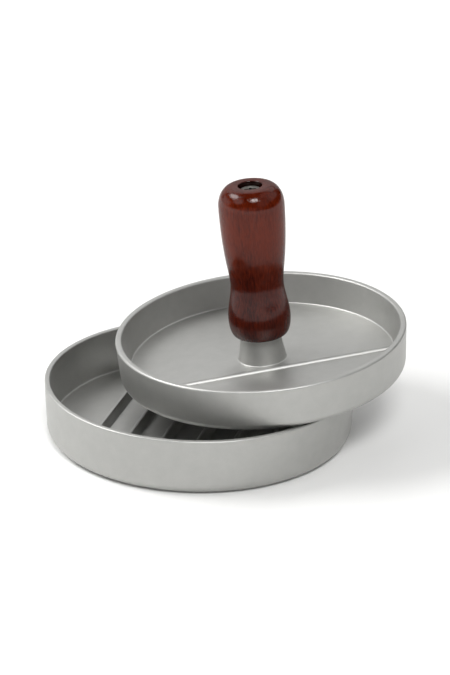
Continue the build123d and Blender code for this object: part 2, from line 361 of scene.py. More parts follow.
def even_angles(count):
    """Angles that share out a full turn."""
    return [FULL_TURN * index / count for index in range(count)]


def point_at(shape, angle, radius, height):
    """A new point at this angle round the axis."""
    return shape.verts.new((radius * cos(angle), radius * sin(angle), height))


def ring(shape, angles, radius, height):
    """Points round the axis at one height. radius is a number, or a function of the angle."""
    radius_at = radius if callable(radius) else lambda angle: radius
    return [point_at(shape, angle, radius_at(angle), height) for angle in angles]


def rings_along(shape, profile, angles):
    """A ring for each point (r, z) of a turned profile."""
    return [ring(shape, angles, r, z) for r, z in profile]


def skin(shape, rings):
    """Faces between rings that have as many points as each other."""
    for low, high in zip(rings, rings[1:]):
        for index in range(len(low)):
            after = (index + 1) % len(low)
            shape.faces.new((low[index], low[after], high[after], high[index]))


def angle_of(point):
    """The point's angle round the axis, from 0 to a full turn."""
    return atan2(point.co.y, point.co.x) % FULL_TURN


def zip_rings(shape, first, second):
    """Faces between two rings round the axis whose points lie at other angles."""

    def once_round(points):
        """The points in order with their angles, and the first one again a full turn on."""
        ordered = [(point, angle_of(point)) for point in sorted(points, key=angle_of)]
        start, angle = ordered[0]
        return [*ordered, (start, angle + FULL_TURN)]

    first = once_round(first)
    second = once_round(second)
    a = b = 0
    while a < len(first) - 1 or b < len(second) - 1:
        corners = (first[a][0], second[b][0])
        b_is_done = b == len(second) - 1
        if b_is_done or (a < len(first) - 1 and first[a + 1][1] <= second[b + 1][1]):
            a += 1
            shape.faces.new((corners[0], first[a][0], corners[1]))
        else:
            b += 1
            shape.faces.new((corners[0], second[b][0], corners[1]))


def lathe(shape, corners, angles):
    """Rings and skin round the axis along rounded corners. Returns the first and the last ring."""
    rings = rings_along(shape, rounded(corners), angles)
    skin(shape, rings)
    return rings[0], rings[-1]


def edge_ring(shape):
    """The points on a disc's open edge, in order round the axis."""
    return sorted((point for point in shape.verts if point.is_boundary), key=angle_of)


def press_place(settings):
    """The matrix that puts the press where it lies on the base dish's rim."""
    press = settings.press
    lean = Vector((cos(press.tilt_bearing), sin(press.tilt_bearing), 0)) * sin(press.tilt)
    normal = lean + Vector((0, 0, cos(press.tilt)))
    x_way = (Vector((1, 0, 0)) - normal * normal.x).normalized()
    y_way = normal.cross(x_way)
    half_turn = (pi / 2 - atan(press.outer_draft / press.height)) / 2
    rim_centre = press_radius(settings) - press.rim_round / tan(pi / 2 - half_turn)
    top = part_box("press_plate")[1].z - press.rim_round
    rise = (press.height - press.rim_round) * cos(press.tilt) + rim_centre * sin(press.tilt)
    place = Matrix((x_way, y_way, normal)).transposed().to_4x4()
    place.translation = (press.shift_x, press.shift_y, top - rise)
    return place


def boss_top_of(settings):
    """The level of the boss's top face over the press's underside, where the handle stands."""
    return settings.press.floor + settings.press.boss_height


def press_radius(settings):
    """The press's outer radius at its rim, as the base dish's mouth allows it."""
    return settings.base.radius - settings.base.wall - settings.press.clearance


def object_of(shape, name, material):
    """A new object in the scene with this shape and material."""
    mesh = bpy.data.meshes.new(name)
    shape.to_mesh(mesh)
    shape.free()
    mesh.materials.append(material)
    made = bpy.data.objects.new(name, mesh)
    bpy.context.scene.collection.objects.link(made)
    return made


def finish_piece(shape, name, material, body, node_name, place=None):
    """Makes a closed shape into a piece that stands for a CAD node and rides on its body."""
    bmesh.ops.remove_doubles(shape, verts=shape.verts, dist=MERGE_DISTANCE)
    bmesh.ops.dissolve_degenerate(shape, edges=shape.edges, dist=SHORTEST_EDGE)
    if place is not None:
        shape.transform(place)
    bmesh.ops.recalc_face_normals(shape, faces=shape.faces)
    open_edges = sum(1 for edge in shape.edges if not edge.is_manifold)
    if open_edges:
        raise RuntimeError(f"{name} isn't closed: {open_edges} open edges")
    piece = object_of(shape, name, material)
    piece.data.shade_smooth()
    piece.data.set_sharp_from_angle(angle=SHARP_ANGLE)
    weighted = piece.modifiers.new("even shading", "WEIGHTED_NORMAL")
    weighted.keep_sharp = True
    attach(piece, body)
    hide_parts(node_name)


def ridged_disc_tree():
    """A node tree that makes a round floor with parallel ridges across it."""
    tree = bpy.data.node_groups.new("ridged_disc", "GeometryNodeTree")
    sizes = ("Pitch", "Height", "Top Width", "Flank Slope", "Edge Blend", "Root Blend")
    sizes += ("Disc Radius", "End Run", "End Fade")
    inputs = {"Ridges": "Int", **dict.fromkeys(sizes, "Float"), "Material": "Material"}
    for name, kind in inputs.items():
        tree.interface.new_socket(name=name, in_out="INPUT", socket_type="NodeSocket" + kind)
    tree.interface.new_socket(name="Geometry", in_out="OUTPUT", socket_type="NodeSocketGeometry")
    given = tree.nodes.new("NodeGroupInput")
    value = {name: Field(tree, given.outputs[name]) for name in inputs}

    def place_of():
        """The three coordinates of the point that a node works on."""
        return parts_of(tree, tree.nodes.new("GeometryNodeInputPosition").outputs[0])

    def moved(geometry, x, y, z):
        """The geometry with its points at x, y, z."""
        to = node(tree, "ShaderNodeCombineXYZ", X=x, Y=y, Z=z)
        return node(tree, "GeometryNodeSetPosition", Geometry=geometry, Position=to.outputs[0]).outputs[0]

    def grid(columns, width):
        """A flat grid 2 units long. Its first and last rows come to lie on the disc's edge."""
        counts = {"Vertices_X": columns, "Vertices_Y": RIDGE_ROWS}
        return node(tree, "GeometryNodeMeshGrid", Size_X=width, Size_Y=2.0, **counts).outputs["Mesh"]

    # One ridge, with a little floor on both sides of it
    foot_half = value["Top Width"] / 2 + value["Height"] / value["Flank Slope"]
    cell_half = foot_half + value["Root Blend"]
    x, y, _ = place_of()
    beyond = cell_half - abs(x)
    flank = (foot_half - abs(x)) * value["Flank Slope"]
    capped = flank.math("SMOOTH_MIN", value["Height"], value["Edge Blend"])
    height = capped.math("SMOOTH_MAX", 0.0, value["Root Blend"])
    at_border = beyond.math("LESS_THAN", MERGE_DISTANCE)
    border = x.math("SIGN") * value["Pitch"] / 2
    x_in_cell = x + (border - x) * at_border
    cell = moved(grid(RIDGE_COLUMNS, cell_half * 2), x_in_cell, y, height * (at_border * -1 + 1))

    # The ridges in a row
    line_start = node(tree, "ShaderNodeCombineXYZ", X=(value["Ridges"] - 1) * value["Pitch"] / -2)
    line_step = node(tree, "ShaderNodeCombineXYZ", X=value["Pitch"])
    line = node(
        tree,
        "GeometryNodeMeshLine",
        Count=value["Ridges"],
        Start_Location=line_start.outputs[0],
        Offset=line_step.outputs[0],
    )
    cells = node(tree, "GeometryNodeInstanceOnPoints", Points=line.outputs[0], Instance=cell)

    # The floor beside the row, out to the disc's edge
    edge_turn = (value["Ridges"] * value["Pitch"] / 2 / value["Disc Radius"]).math("ARCSINE")
    x, y, _ = place_of()
    side_turn = edge_turn + (x + 0.5) * (edge_turn * -1 + pi / 2)
    side = moved(grid(SIDE_COLUMNS, 1.0), side_turn.math("SINE") * value["Disc Radius"], y, 0.0)
    other_side = node(tree, "GeometryNodeTransform", Geometry=side, Rotation=(0, 0, pi))

    joined = tree.nodes.new("GeometryNodeJoinGeometry")
    for part in (cells.outputs[0], side, other_side.outputs[0]):
        tree.links.new(part, joined.inputs[0])
    real = node(tree, "GeometryNodeRealizeInstances", Geometry=joined.outputs[0])

    # The rows run out to the disc's round edge, and the ridges fade over the last stretch if they have to
    x, y, z = place_of()
    inner_row = 1 - 2 / (RIDGE_ROWS - 1)
    reach = (value["Disc Radius"] * value["Disc Radius"] - x * x).math("MAXIMUM", 0.0).math("SQRT")
    inner_reach = (reach - value["End Run"]).math("MAXIMUM", 0.0)
    along = (abs(y) / inner_row).math("MINIMUM", 1.0)
    past = (abs(y) - inner_row).math("MAXIMUM", 0.0) / (1 - inner_row)
    y_on_disc = y.math("SIGN") * (along * inner_reach + past * (reach - inner_reach))
    faded = z * (past * value["End Fade"] * -1 + 1)
    disc = moved(real.outputs[0], x, y_on_disc, faded)

    merged = node(tree, "GeometryNodeMergeByDistance", Geometry=disc, Distance=MERGE_DISTANCE)
    painted = node(tree, "GeometryNodeSetMaterial", Geometry=merged.outputs[0], Material=value["Material"])
    result = tree.nodes.new("NodeGroupOutput")
    tree.links.new(painted.outputs[0], result.inputs[0])
    return tree


def ridged_disc(ridges, height, radius, end_run, end_fade, bearing, level, material):
    """A shape holding a ridged round floor, made by the node tree, at this level and bearing."""
    tree = bpy.data.node_groups.get("ridged_disc") or ridged_disc_tree()
    mesh = bpy.data.meshes.new("ridged_disc")
    carrier = bpy.data.objects.new("ridged_disc", mesh)
    bpy.context.scene.collection.objects.link(carrier)
    modifier = carrier.modifiers.new("ridged disc", "NODES")
    modifier.node_group = tree
    values = {
        "Ridges": ridges.count,
        "Pitch": ridges.pitch,
        "Height": height,
        "Top Width": ridges.top_width,
        "Flank Slope": tan(ridges.flank),
        "Edge Blend": ridges.edge_blend,
        "Root Blend": ridges.root_blend,
        "Disc Radius": radius,
        "End Run": end_run,
        "End Fade": end_fade,
        "Material": material,
    }
    for item in tree.interface.items_tree:
        if item.in_out == "INPUT":
            modifier[item.identifier] = values[item.name]
    bpy.context.view_layer.update()
    finished = bpy.data.meshes.new_from_object(carrier.evaluated_get(bpy.context.evaluated_depsgraph_get()))
    bpy.data.objects.remove(carrier)
    shape = bmesh.new()
    shape.from_mesh(finished)
    bpy.data.meshes.remove(finished)
    shape.transform(Matrix.Translation((0, 0, level)) @ Matrix.Rotation(bearing - pi / 2, 4, "Z"))
    return shape


def raise_wall(shape, floor_edge, dish, outside, wall_start, foot_end):
    """A dish's fillet and wall from its floor's edge up, its rim, and its outside down to its underside.

    The fillet ends below the level wall_start. Returns the last ring, whose radius is foot_end.
    """
    mouth = outside - dish.wall
    middle = outside - dish.wall / 2
    fillet = dish.corner_fillet
    slope = dish.inner_draft / (dish.height - dish.floor)
    lean = atan(slope)

    def wall_radius(level):
        """The inner wall's radius at this level."""
        return mouth - (dish.height - level) * slope

    angles = [angle_of(point) for point in floor_edge]
    floors = [point.co.z for point in floor_edge]
    rings = [floor_edge]
    for step in range(ROUND_STEPS + 1):
        rise = -pi / 2 + (pi / 2 - lean) * step / ROUND_STEPS
        points = []
        for angle, level in zip(angles, floors):
            centre = wall_radius(level) - fillet * tan(pi / 4 - lean / 2)
            height = level + fillet * (1 + sin(rise))
            points.append(point_at(shape, angle, centre + fillet * cos(rise), height))
        rings.append(points)
    top = (
        (wall_radius(wall_start), wall_start, 0),
        (mouth, dish.height, dish.rim_round),
        (middle - BAND, dish.height, 0),
    )
    rings += rings_along(shape, rounded(top), angles)
    skin(shape, rings)
    outer, foot = lathe(
        shape,
        (
            (middle + BAND, dish.height, 0),
            (outside, dish.height, dish.rim_round),
            (outside - dish.outer_draft, 0, dish.foot_round),
            (foot_end, 0, 0),
        ),
        even_angles(WALL_SEGMENTS),
    )
    zip_rings(shape, rings[-1], outer)
    return foot


def make_base_dish(settings):
    """The base dish: ridged floor, drafted wall, rounded rim and foot."""
    base = settings.base
    ridges = settings.ridges
    material = cast_aluminium(settings)
    shape = ridged_disc(
        ridges,
        height=ridges.base_height,
        radius=base.radius - base.wall - base.inner_draft - base.corner_fillet - BASE_FLOOR_MARGIN,
        end_run=BASE_RIDGE_RUN,
        end_fade=0.0,
        bearing=ridges.base_bearing,
        level=base.floor,
        material=material,
    )
    wall_start = base.floor + ridges.base_height + base.corner_fillet
    foot = raise_wall(shape, edge_ring(shape), base, base.radius, wall_start, base.radius / 2)
    shape.faces.new(foot)
    finish_piece(shape, "base_dish_casting", material, "base", "base_dish")


def step_levels(press):
    """Points (distance in front of the axis, level) down the rounded step in the press plate's floor."""
    start = press.step_distance - press.step_width
    radius = (press.step_width**2 + press.step_depth**2) / (2 * press.step_depth)
    sweep = 2 * atan(press.step_depth / press.step_width)
    turns = [sweep * step / STEP_STEPS for step in range(STEP_STEPS + 1)]
    return [(start + radius * sin(done), press.floor - radius * (1 - cos(done))) for done in turns]


def level_at(levels, distance):
    """The press plate's floor level at this distance in front of the axis."""
    for before, after in zip(levels, levels[1:]):
        if distance <= after[0]:
            done = max(0.0, (distance - before[0]) / (after[0] - before[0]))
            return before[1] + (after[1] - before[1]) * done
    return levels[-1][1]


def raise_boss(shape, settings, boss_edge, angles):
    """The boss with its tapped hole. Returns the ring on the floor round it."""
    press = settings.press
    screw = settings.screw
    top = boss_top_of(settings)
    hole = screw.radius + screw.thread_clearance
    hole_floor = top - screw.engagement - screw.tip_clearance
    point_radius = hole / 4
    point_depth = hole / 2
    foot, hole_end = lathe(
        shape,
        (
            (boss_edge, press.floor, 0),
            (press.boss_foot, press.floor, press.boss_fillet),
            (press.boss_top, top, press.boss_round),
            (hole, top, 0),
            (hole, hole_floor, 0),
            (point_radius, hole_floor - point_depth, 0),
        ),
        angles,
    )
    shape.faces.new(hole_end)
    return foot


def stepped_floor(shape, press, levels, boss_foot, boss_edge, floor_edge, angles):
    """The floor from the boss to the wall's fillet, with its step in front. Returns its outer ring."""
    front = press.step_bearing - pi / 2
    # Rings a third and two thirds of the way from the boss to the step
    between = {1 / 3: [], 2 / 3: []}
    stops = [[] for _ in levels]
    last = []
    edge = []
    for angle in angles:
        facing = cos(angle - front)
        end_level = level_at(levels, facing * floor_edge)
        reach = []
        for stop, (distance, level) in zip(stops, levels):
            r = distance / facing if facing * floor_edge > distance else floor_edge
            if r == floor_edge:
                level = end_level
            elif r < boss_edge:
                r = boss_edge
                level = press.floor
            reach.append(r)
            stop.append(point_at(shape, angle, r, level))
        for part, points in between.items():
            r = boss_edge + (reach[0] - boss_edge) * part
            points.append(point_at(shape, angle, r, press.floor))
        last.append(point_at(shape, angle, (floor_edge + reach[-1]) / 2, stops[-1][-1].co.z))
        edge.append(point_at(shape, angle, floor_edge, end_level))
    skin(shape, [boss_foot, *between.values(), *stops, last, edge])
    return edge


def make_press_plate(settings):
    """The press plate: stepped floor with the boss, wall, rim, and ridged underside."""
    press = settings.press
    outside = press_radius(settings)
    floor_edge = outside - press.wall - press.inner_draft - press.corner_fillet - PRESS_FLOOR_MARGIN
    foot_edge = outside - press.outer_draft - press.foot_round
    boss_edge = press.boss_foot + press.boss_fillet + BAND
    levels = step_levels(press)
    front = press.step_bearing - pi / 2
    angles = even_angles(WALL_SEGMENTS)
    for distance, _ in levels:
        crossing = acos(distance / floor_edge)
        angles += [(front + crossing) % FULL_TURN, (front - crossing) % FULL_TURN]
    angles = sorted(angles)
    angles = [a for a, after in zip(angles, [*angles[1:], FULL_TURN]) if after - a > LEAST_TURN]

    material = cast_aluminium(settings)
    shape = ridged_disc(
        settings.ridges,
        height=settings.ridges.press_height,
        radius=foot_edge,
        end_run=PRESS_RIDGE_RUN,
        end_fade=1.0,
        bearing=press.step_bearing,
        level=0.0,
        material=material,
    )
    shape.transform(Matrix.Scale(-1, 4, (0, 0, 1)))
    under = edge_ring(shape)
    boss_foot = raise_boss(shape, settings, boss_edge, angles)
    edge = stepped_floor(shape, press, levels, boss_foot, boss_edge, floor_edge, angles)
    wall_start = press.floor + 2 * press.corner_fillet
    foot = raise_wall(shape, edge, press, outside, wall_start, foot_edge + BAND)
    zip_rings(shape, foot, under)
    place = press_place(settings)
    finish_piece(shape, "press_plate_casting", material, "press", "press_plate", place)


def ellipse_quarter(centre_r, centre_z, half_width, half_height, start):
    """Points along a quarter of an ellipse from the angle start, in the (r, z) plane."""
    path = []
    for step in range(QUARTER_STEPS + 1):
        angle = start + pi / 2 * step / QUARTER_STEPS
        path.append(Vector((centre_r + half_width * cos(angle), centre_z + half_height * sin(angle))))
    return path


def make_handle(settings):
    """The turned handle with its screw hole."""
    handle = settings.handle
    screw = settings.screw
    shoulder = handle.length - handle.crown
    bore = screw.head + screw.bore_clearance
    seat = handle.length - screw.head_sink - screw.head_height - screw.washers
    shank_hole = screw.radius + screw.shank_clearance
    foot = ellipse_quarter(
        handle.foot, handle.bulge_height, handle.bulge - handle.foot, handle.bulge_height, -pi / 2
    )
    grip = smooth_through(
        (
            (handle.bulge, handle.bulge_height),
            (handle.waist, handle.waist_height),
            (handle.flare, handle.waist_height + handle.flare_rise),
            (handle.head, shoulder),
        )
    )
    crown = ellipse_quarter(handle.top, shoulder, handle.head - handle.top, handle.crown, 0)
    hole = rounded(
        (
            (handle.top - 2 * BAND, handle.length, 0),
            (bore, handle.length, handle.mouth_round),
            (bore, seat, 0),
            (shank_hole, seat, 0),
            (shank_hole, 0, 0),
            (handle.foot - 2 * BAND, 0, 0),
        )
    )
    shape = bmesh.new()
    profile = [*foot, *grip[1:], *crown[1:], *hole]
    rings = rings_along(shape, profile, even_angles(HANDLE_SEGMENTS))
    skin(shape, [*rings, rings[0]])
    wood = lacquered_wood(settings)
    place = press_place(settings) @ Matrix.Translation((0, 0, boss_top_of(settings)))
    finish_piece(shape, "turned_handle", wood, "press", "handle", place)


# Screw: the head's lower round, and the recess's border and chamfer
HEAD_FOOT_ROUND = 0.15 * MM
RECESS_BORDER = 0.3 * MM
RECESS_CHAMFER = 0.08 * MM

# Width of the recess at its mouth and its bottom, as a share of its width under the chamfer
RECESS_MOUTH = 1.04
RECESS_BOTTOM = 0.72

# Thread: its depth and its flats as shares of the pitch, and how deep it already is at the tip
THREAD_DEPTH = 0.61
THREAD_FLAT = 0.1
TIP_SHARE = 0.3

# Keeps the recess from a division by zero
NEAR_ZERO = 1e-6


def make_handle_screw(settings):
    """The handle screw: cheese head with a cross recess, shank, and a cut thread."""
    screw = settings.screw
    handle = settings.handle
    boss_top = boss_top_of(settings)
    seat = boss_top + handle.length - screw.head_sink - screw.head_height
    top = seat + screw.head_height
    tip = boss_top - screw.engagement
    arm = screw.recess_span / 2
    half = screw.recess_width / 2
    corner = atan(half / arm)
    corners = [start + c for start in even_angles(4) for c in (corner, pi / 4, pi / 2 - corner)]
    angles = sorted([*even_angles(SCREW_SEGMENTS), *corners])

    def recess(angle, scale=1.0):
        """The cross recess's radius at this angle."""
        across = max(abs(cos(angle)), NEAR_ZERO)
        upright = max(abs(sin(angle)), NEAR_ZERO)
        return scale * max(min(arm / across, half / upright), min(arm / upright, half / across))

    shape = bmesh.new()
    head = rounded(
        (
            (screw.radius, seat, 0),
            (screw.head, seat, HEAD_FOOT_ROUND),
            (screw.head, top, screw.head_round),
            (arm + RECESS_BORDER, top, 0),
        )
    )
    rings = rings_along(shape, head, angles)
    rings.append(ring(shape, angles, lambda angle: recess(angle, RECESS_MOUTH), top))
    rings.append(ring(shape, angles, recess, top - RECESS_CHAMFER))
    rings.append(ring(shape, angles, lambda angle: recess(angle, RECESS_BOTTOM), top - screw.recess_depth))
    skin(shape, rings)
    shape.faces.new(rings[-1])

    thread_top = tip + screw.thread
    count = int(screw.thread / screw.pitch * RINGS_PER_THREAD_TURN)
    depth = THREAD_DEPTH * screw.pitch

    def thread_radius(height):
        """The screw's radius round the axis at this height, along the helix."""

        def radius(angle):
            from_tip = (height - tip) / screw.pitch
            phase = from_tip - angle / FULL_TURN
            wave = abs((phase - floor(phase)) * 2 - 1)
            groove = wave * (1 + 2 * THREAD_FLAT) - THREAD_FLAT
            run_out = min(1.0, (thread_top - height) / screw.pitch, from_tip + TIP_SHARE)
            return screw.radius - depth * min(1.0, max(0.0, groove)) * max(0.0, run_out)

        return radius

    shank = [rings[0], ring(shape, angles, screw.radius, thread_top + screw.pitch)]
    for index in range(count + 1):
        height = thread_top - screw.thread * index / count
        shank.append(ring(shape, angles, thread_radius(height), height))
    skin(shape, shank)
    shape.faces.new(shank[-1])
    zinc = zinc_steel(settings)
    place = press_place(settings)
    finish_piece(shape, "cheese_head_screw", zinc, "press", "handle_screw", place)


def new_material(name):
    """A new material, its empty tree and its object coordinates."""
    material = bpy.data.materials.new(name)
    material.use_nodes = True
    tree = material.node_tree
    tree.nodes.clear()
    return material, tree, tree.nodes.new("ShaderNodeTexCoord").outputs["Object"]


def set_shader(tree, **inputs):
    """Gives the material a Principled shader with these inputs."""
    shader = node(tree, "ShaderNodeBsdfPrincipled", **inputs)
    output = tree.nodes.new("ShaderNodeOutputMaterial")
    tree.links.new(shader.outputs[0], output.inputs[0])


def noise(tree, place, size, detail=2.0, roughness=0.5, distortion=0.0):
    """Noise whose features are about this large, as a field from 0 to 1."""
    made = node(
        tree,
        "ShaderNodeTexNoise",
        Vector=place,
        Scale=1.0 / size,
        Detail=detail,
        Roughness=roughness,
        Distortion=distortion,
    )
    return Field(tree, made.outputs[0])


def ramp(field, start, width):
    """A field that goes from 0 to 1 as the given one goes from start on over width."""
    return ((field - start) / width).math("MULTIPLY", 1.0, clamp=True)


def swing(field, width):
    """How far a field from 0 to 1 is from its middle, times this width."""
    return (field - 0.5) * width


def shade(tint, strength):
    """A darker or lighter shade: the tint times this strength."""
    return tuple(Vector(tint) * strength)


def mixed(tree, factor, first, second):
    """A colour between two colours, each given as three numbers or as a socket."""
    made = node(tree, "ShaderNodeMix", {"data_type": "RGBA"})
    tree.links.new(factor.socket, made.inputs[0])
    for socket, value in ((made.inputs[6], first), (made.inputs[7], second)):
        if isinstance(value, bpy.types.NodeSocket):
            tree.links.new(value, socket)
        else:
            socket.default_value = (*value, 1.0)
    return made.outputs[2]


def bump(tree, height, distance, strength, normal=None):
    """A bump of this height in metres, over another normal if one is given."""
    made = node(tree, "ShaderNodeBump", Strength=strength, Distance=distance, Height=height)
    if normal is not None:
        tree.links.new(normal, made.inputs["Normal"])
    return made.outputs[0]


def press_coordinates(tree, place, settings):
    """Coordinates in the press's own frame, with Z up along the handle."""
    into_press = press_place(settings).inverted()
    mapping = node(
        tree,
        "ShaderNodeMapping",
        Vector=place,
        Location=into_press.to_translation(),
        Rotation=into_press.to_euler(),
    )
    return mapping.outputs[0]


def round_axis(tree, straight):
    """The distance from the handle's axis, and the height along it."""
    across, along, up = parts_of(tree, straight)
    return (across * across + along * along).math("SQRT"), up


# Blasted casting: sizes of its grain, soft waves and clouds, and depths of the first two
GRAIN_SIZE = 0.35 * MM
WAVE_SIZE = 2.2 * MM
CLOUD_SIZE = 5.0 * MM
GRAIN_DEPTH = 0.02 * MM
WAVE_DEPTH = 0.035 * MM


def cast_aluminium(settings):
    """Satin aluminium casting, finely blasted, with a faint cloudiness and soft waves in its skin."""
    known = bpy.data.materials.get("satin_casting")
    if known:
        return known
    material, tree, place = new_material("satin_casting")
    finish = settings.finish
    grain = noise(tree, place, GRAIN_SIZE, detail=3.0, roughness=0.65)
    clouds = noise(tree, place, CLOUD_SIZE, detail=4.0, roughness=0.6)
    waves = noise(tree, place, WAVE_SIZE, detail=3.0, roughness=0.55)
    tone = swing(clouds, 1.2) + swing(grain, 0.6) + 0.5
    tint = mixed(tree, tone, shade(finish.aluminium, 0.92), shade(finish.aluminium, 1.08))
    rough = swing(clouds, 0.08) + swing(grain, 0.06) + finish.aluminium_roughness
    relief = bump(tree, grain, GRAIN_DEPTH, 0.7)
    relief = bump(tree, waves, WAVE_DEPTH, 0.7, relief)
    set_shader(tree, Base_Color=tint, Metallic=1.0, Roughness=rough, Normal=relief)
    return material


# Wood: sizes of its fibres, pores and bands and of the lacquer's waves, and depths of pores and waves
FIBRE_SIZE = 0.5 * MM
PORE_SIZE = 0.4 * MM
BAND_SIZE = 6.0 * MM
PEEL_SIZE = 0.8 * MM
PORE_DEPTH = 0.03 * MM
PEEL_DEPTH = 0.02 * MM

# Scale of the coordinates of fibres and pores: across the handle both ways, and along it
FIBRE_DRAW = (1.0, 1.0, 0.08)
PORE_DRAW = (1.0, 1.0, 0.14)

# Paler zone of the grip: its middle over the handle's foot, how far it reaches, and its strength there
PALE_BAND_HEIGHT = 45.2 * MM
PALE_BAND_REACH = 14.0 * MM
PALE_BAND_PEAK = 1.4

# Lightness of the wood, and what fibres, bands and the paler zone add to it
WOOD_TONE = 0.25
FIBRE_CONTRAST = 1.9
BAND_CONTRAST = 0.7
PALE_BAND_LIGHT = 0.5
STREAK_CONTRAST = 1.2

# How sharply the pores stand out, and how much of the dark stain they hold
PORE_CONTRAST = 6.0
PORE_STAIN = 0.3

# Width over which the wood goes from the painted shade in the screw hole to the outside's stain
BORE_SHADE_EDGE = 0.3 * MM


def lacquered_wood(settings):
    """Red-brown stained wood with a straight grain along the handle, under a glossy lacquer."""
    material, tree, place = new_material("stained_lacquer")
    finish = settings.finish
    straight = press_coordinates(tree, place, settings)
    drawn = node(tree, "ShaderNodeMapping", Vector=straight, Scale=FIBRE_DRAW).outputs[0]
    fine_drawn = node(tree, "ShaderNodeMapping", Vector=straight, Scale=PORE_DRAW).outputs[0]
    fibres = noise(tree, drawn, FIBRE_SIZE, detail=4.0, roughness=0.7)
    pores = noise(tree, fine_drawn, PORE_SIZE, detail=2.0, roughness=0.6)
    bands = noise(tree, drawn, BAND_SIZE, detail=2.0, roughness=0.5, distortion=0.4)
    peel = noise(tree, straight, PEEL_SIZE, detail=3.0, roughness=0.7)
    pore_marks = (pores - 0.5).math("MULTIPLY", PORE_CONTRAST, clamp=True)
    off_axis, up = round_axis(tree, straight)
    # A paler band round the upper grip, strongest at its middle and fading out over its reach
    off_pale_band = abs(up - (boss_top_of(settings) + PALE_BAND_HEIGHT))
    pale_band = (off_pale_band / PALE_BAND_REACH * -1.0 + PALE_BAND_PEAK).math("MAXIMUM", 0.0)
    figure = swing(fibres, FIBRE_CONTRAST) + swing(bands, BAND_CONTRAST) + WOOD_TONE + pale_band * PALE_BAND_LIGHT
    streaks = figure.math("MULTIPLY", STREAK_CONTRAST, clamp=True)
    stain = mixed(tree, streaks, finish.wood_dark, finish.wood_light)
    stained = mixed(tree, pore_marks * PORE_STAIN, stain, finish.wood_dark)
    # Painted shade: inside the screw hole the stain gives way to the dark bore colour
    outside = ramp(off_axis, settings.screw.head + settings.screw.bore_clearance, BORE_SHADE_EDGE)
    stained = mixed(tree, outside, finish.bore_shade, stained)
    relief = bump(tree, pore_marks, -PORE_DEPTH, 0.5)
    relief = bump(tree, peel, PEEL_DEPTH, 0.5, relief)
    set_shader(
        tree,
        Base_Color=stained,
        Roughness=0.5,
        Specular_IOR_Level=0.0,
        Normal=relief,
        Coat_Normal=relief,
        Coat_Weight=0.48,
        Coat_Roughness=0.08,
        Coat_IOR=1.5,
    )
    return material


# Zinc plate: sizes of its film and its marks, depth of the marks, and how fast painted shade darkens the
# recess
FILM_SIZE = 1.4 * MM
MARK_SIZE = 0.12 * MM
MARK_DEPTH = 0.004 * MM
RECESS_SHADE_DROP = 0.4 * MM
RECESS_SHADE_EDGE = 0.2 * MM


def zinc_steel(settings):
    """Bright zinc plate on steel, with fine marks, a dull film, and painted shade in the screw's recess."""
    known = bpy.data.materials.get("bright_zinc")
    if known:
        return known
    material, tree, place = new_material("bright_zinc")
    steel = settings.finish.steel
    screw = settings.screw
    film = noise(tree, place, FILM_SIZE, detail=3.0, roughness=0.6)
    marks = noise(tree, place, MARK_SIZE, detail=2.0, roughness=0.5)
    tint = mixed(tree, film, shade(steel, 0.82), shade(steel, 1.08))
    off_axis, up = round_axis(tree, press_coordinates(tree, place, settings))
    head_top = boss_top_of(settings) + settings.handle.length - screw.head_sink
    # Painted shade: below the head's top, everything inside the screw's radius goes nearly black, as the
    # recess is in shade
    below_top = ramp(up * -1.0, -head_top, RECESS_SHADE_DROP)
    within = ramp(off_axis * -1.0, -screw.radius, RECESS_SHADE_EDGE)
    tint = mixed(tree, below_top * within, tint, shade(steel, 0.04))
    relief = bump(tree, marks, MARK_DEPTH, 0.5)
    set_shader(
        tree,
        Base_Color=tint,
        Metallic=1.0,
        Roughness=swing(film, 0.12) + 0.5,
        Normal=relief,
    )
    return material


# Floor, in metres: where its far glow begins, over what width it grows, and the size of its clouds
NEAR_FLOOR = 0.15
GLOW_WIDTH = 1.0
FLOOR_CLOUDS = 0.04

# Strength of the floor's far glow
FAR_GLOW = 0.95


def pale_table(settings):
    """Plain pale floor that glows faintly, and more so far from the press, so that it never turns dark."""
    material, tree, place = new_material("pale_table")
    table = settings.finish.table
    clouds = noise(tree, place, FLOOR_CLOUDS, detail=2.0)
    tint = mixed(tree, clouds, shade(table, 0.99), table)
    off_middle = node(tree, "ShaderNodeVectorMath", {"operation": "LENGTH"}, Vector=place).outputs[1]
    far = ramp(Field(tree, off_middle), NEAR_FLOOR, GLOW_WIDTH)
    set_shader(
        tree,
        Base_Color=tint,
        Roughness=0.6,
        Emission_Color=(1.0, 1.0, 1.0, 1.0),
        Emission_Strength=far * FAR_GLOW + settings.stage.glow,
    )
    return material


# The floor's rings, in metres, and their segments
FLOOR_RADII = (0.25, 1.0, 6.0)
FLOOR_SEGMENTS = 96


def make_floor(settings):
    """A wide flat floor."""
    shape = bmesh.new()
    rings = [ring(shape, even_angles(FLOOR_SEGMENTS), r, 0.0) for r in FLOOR_RADII]
    shape.faces.new(rings[0])
    skin(shape, rings)
    bmesh.ops.recalc_face_normals(shape, faces=shape.faces)
    if shape.faces[0].normal.z < 0:
        bmesh.ops.reverse_faces(shape, faces=shape.faces)
    object_of(shape, "floor", pale_table(settings))


